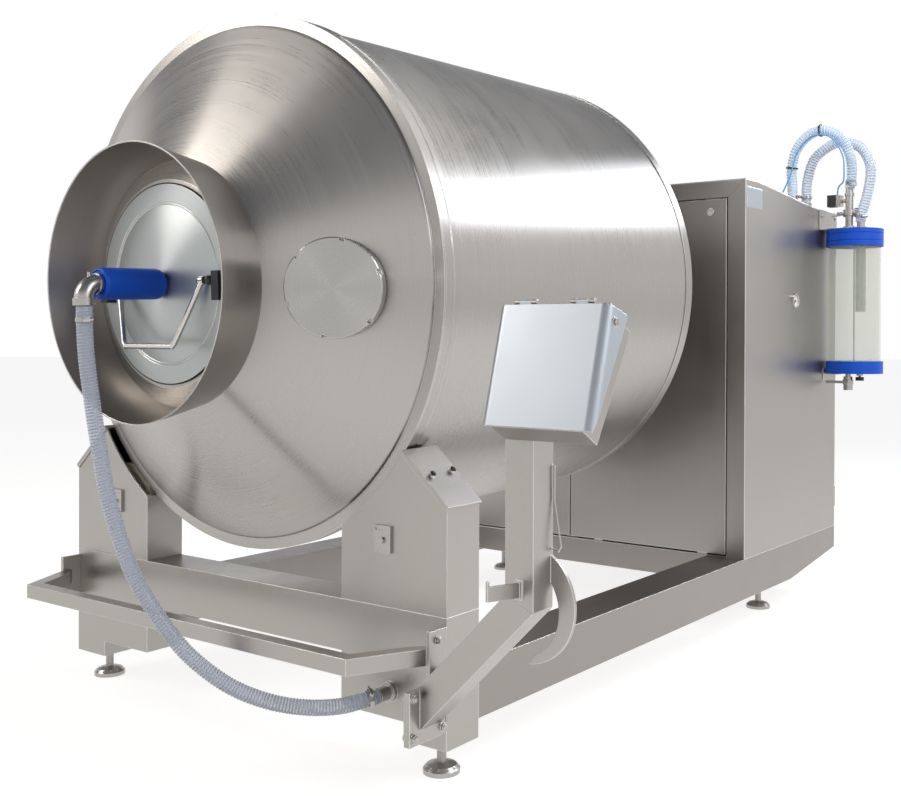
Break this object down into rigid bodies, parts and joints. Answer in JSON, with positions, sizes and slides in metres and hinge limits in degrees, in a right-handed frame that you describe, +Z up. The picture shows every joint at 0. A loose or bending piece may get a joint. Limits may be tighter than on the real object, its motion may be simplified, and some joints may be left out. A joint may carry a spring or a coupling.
{
  "type": "vacuum marinator",
  "caption": "Vacuum tumbling drum for marinating meat: a tilted steel drum on rollers, with a drive cabinet, a control box on an arm, a vacuum lead and a liquid filter.",
  "frame": {"origin": "on the floor, below the middle of the whole machine's box", "axes": "+Z up, +X to the right seen from the front, +Y from the drum's mouth to the drive cabinet"},
  "size_m": [2.1606, 3.3814, 2.1219],
  "materials": {
    "stainless_steel": "glass-bead blasted",
    "brushed_cover": "brushed",
    "foot_steel": "turned",
    "screen": "matte front plate with a dark screen",
    "red_plastic": "moulded",
    "green_plastic": "moulded",
    "cabinet_steel": "fine brushed sheet",
    "chrome_trim": "polished stainless fittings",
    "black_plastic": "moulded",
    "blue_plastic": "turned and moulded",
    "clear_plastic": "clear tube",
    "clear_hose": "clear hose with a wire spiral",
    "drum_steel": "glass-bead blasted",
    "ring_steel": "turned bright",
    "lid_steel": "spun and brushed",
    "roller_plastic": "cast polyamide",
    "painted_iron": "painted castings"
  },
  "bodies": {
    "frame": {"front_beam": "stainless_steel", "roller_pedestals": "stainless_steel", "pedestal_covers": "brushed_cover", "long_rails": "stainless_steel", "levelling_feet": "foot_steel", "bumper_bar": "stainless_steel", "control_arm": "stainless_steel", "control_post": "stainless_steel", "control_box": "brushed_cover", "control_panel": "screen", "cabinet_side_left": "cabinet_steel", "cabinet_side_right": "cabinet_steel", "cabinet_roof": "cabinet_steel", "cabinet_floor": "cabinet_steel", "cabinet_front": "cabinet_steel", "front_panel_left": "cabinet_steel", "front_panel_right": "cabinet_steel", "gauge_body": "chrome_trim", "filter_bracket": "stainless_steel", "filter_head": "blue_plastic", "filter_bowl": "clear_plastic", "filter_base": "blue_plastic", "filter_sieve": "chrome_trim", "filter_valve": "chrome_trim", "drain_valve": "chrome_trim", "intake_hose": "clear_hose", "outlet_hose": "clear_hose", "air_line": "blue_plastic", "front_hose": "clear_hose", "lead_elbow": "chrome_trim", "rotary_hub": "blue_plastic", "roller_axles": "ring_steel", "shaft_bearing": "painted_iron", "drive_unit": "painted_iron", "vacuum_pump": "painted_iron"},
    "drum": {"drum_shell": "drum_steel", "front_head": "drum_steel", "running_ring": "ring_steel", "rear_head": "drum_steel", "collar": "drum_steel", "drum_lid": "lid_steel", "lid_blocks": "black_plastic", "drum_baffles": "drum_steel", "drum_shaft": "ring_steel"},
    "bow_handle": {"bow_handle": "chrome_trim"},
    "port_cap": {"port_cap": "ring_steel"},
    "roller_left": {"roller_left": "roller_plastic"},
    "roller_right": {"roller_right": "roller_plastic"},
    "control_cover": {"control_cover": "brushed_cover"},
    "cover_catch": {"cover_catch": "foot_steel"},
    "emergency_button": {"emergency_button": "red_plastic"},
    "start_button": {"start_button": "green_plastic"},
    "stop_button": {"stop_button": "red_plastic"},
    "panel_lock_left": {"panel_lock_left": "foot_steel"},
    "panel_lock_right": {"panel_lock_right": "foot_steel"},
    "rear_door_left": {"rear_door_left": "cabinet_steel"},
    "rear_door_right": {"rear_door_right": "cabinet_steel"},
    "gauge_needle": {"gauge_needle": "black_plastic"},
    "drain_lever": {"drain_lever": "chrome_trim"},
    "bleed_knob": {"bleed_knob": "black_plastic"}
  },
  "joints": [
    {"name": "drum_spin", "type": "hinge", "parent": "frame", "child": "drum", "pos_m": [-0.2732, -1.1553, 1.298], "axis": [0, 0.9994, 0.0349], "continuous": true},
    {"name": "roller_left_spin", "type": "hinge", "parent": "frame", "child": "roller_left", "pos_m": [-0.85484, -1.09022, 0.60913], "axis": [0, 0.9994, 0.0349], "continuous": true},
    {"name": "roller_right_spin", "type": "hinge", "parent": "frame", "child": "roller_right", "pos_m": [0.30844, -1.09022, 0.60913], "axis": [0, 0.9994, 0.0349], "continuous": true},
    {"name": "handle_swing", "type": "hinge", "parent": "drum", "child": "bow_handle", "pos_m": [-0.2732, -1.43034, 1.2944], "axis": [-1, 0, 0], "range_deg": [-12, 45]},
    {"name": "cap_turn", "type": "hinge", "parent": "drum", "child": "port_cap", "pos_m": [0.25683, -1.27505, 1.27159], "axis": [0.4745, -0.8788, -0.0506], "range_deg": [0, 60]},
    {"name": "cover_hinge", "type": "hinge", "parent": "frame", "child": "control_cover", "pos_m": [0.9208, -1.2593, 1.227], "axis": [-1, 0, 0], "range_deg": [0, 100]},
    {"name": "catch_turn", "type": "hinge", "parent": "control_cover", "child": "cover_catch", "pos_m": [1.0723, -1.2483, 1.18], "axis": [1, 0, 0], "range_deg": [0, 90]},
    {"name": "start_press", "type": "slide", "parent": "frame", "child": "start_button", "axis": [0, 0.8643, -0.503], "range_m": [0, 0.004], "stiffness_N_per_m": 800},
    {"name": "stop_press", "type": "slide", "parent": "frame", "child": "stop_button", "axis": [0, 0.8643, -0.503], "range_m": [0, 0.004], "stiffness_N_per_m": 800},
    {"name": "emergency_press", "type": "slide", "parent": "frame", "child": "emergency_button", "axis": [0, 0.8643, -0.503], "range_m": [0, 0.005], "stiffness_N_per_m": 800},
    {"name": "lock_left_turn", "type": "hinge", "parent": "frame", "child": "panel_lock_left", "pos_m": [-0.9262, 0.6607, 1.641], "axis": [0, 1, 0], "range_deg": [0, 90]},
    {"name": "lock_right_turn", "type": "hinge", "parent": "frame", "child": "panel_lock_right", "pos_m": [0.3798, 0.6607, 1.641], "axis": [0, -1, 0], "range_deg": [0, 90]},
    {"name": "door_left_hinge", "type": "hinge", "parent": "frame", "child": "rear_door_left", "pos_m": [-1.0662, 1.6597, 0.99], "axis": [0, 0, 1], "range_deg": [0, 110]},
    {"name": "door_right_hinge", "type": "hinge", "parent": "frame", "child": "rear_door_right", "pos_m": [0.5198, 1.6597, 0.99], "axis": [0, 0, -1], "range_deg": [0, 110]},
    {"name": "needle_turn", "type": "hinge", "parent": "frame", "child": "gauge_needle", "pos_m": [0.5358, 1.1557, 1.302], "axis": [-1, 0, 0], "range_deg": [0, 270]},
    {"name": "drain_turn", "type": "hinge", "parent": "frame", "child": "drain_lever", "pos_m": [0.6298, 1.5037, 0.951], "axis": [0, -1, 0], "range_deg": [0, 90]},
    {"name": "bleed_turn", "type": "hinge", "parent": "frame", "child": "bleed_knob", "pos_m": [0.6818, 1.5337, 0.966], "axis": [0, 0, 1], "continuous": true}
  ],
  "couplings": [
    {"joint": "roller_left_spin", "follows": "drum_spin", "ratio": -6.6049},
    {"joint": "roller_right_spin", "follows": "drum_spin", "ratio": -6.6049}
  ]
}
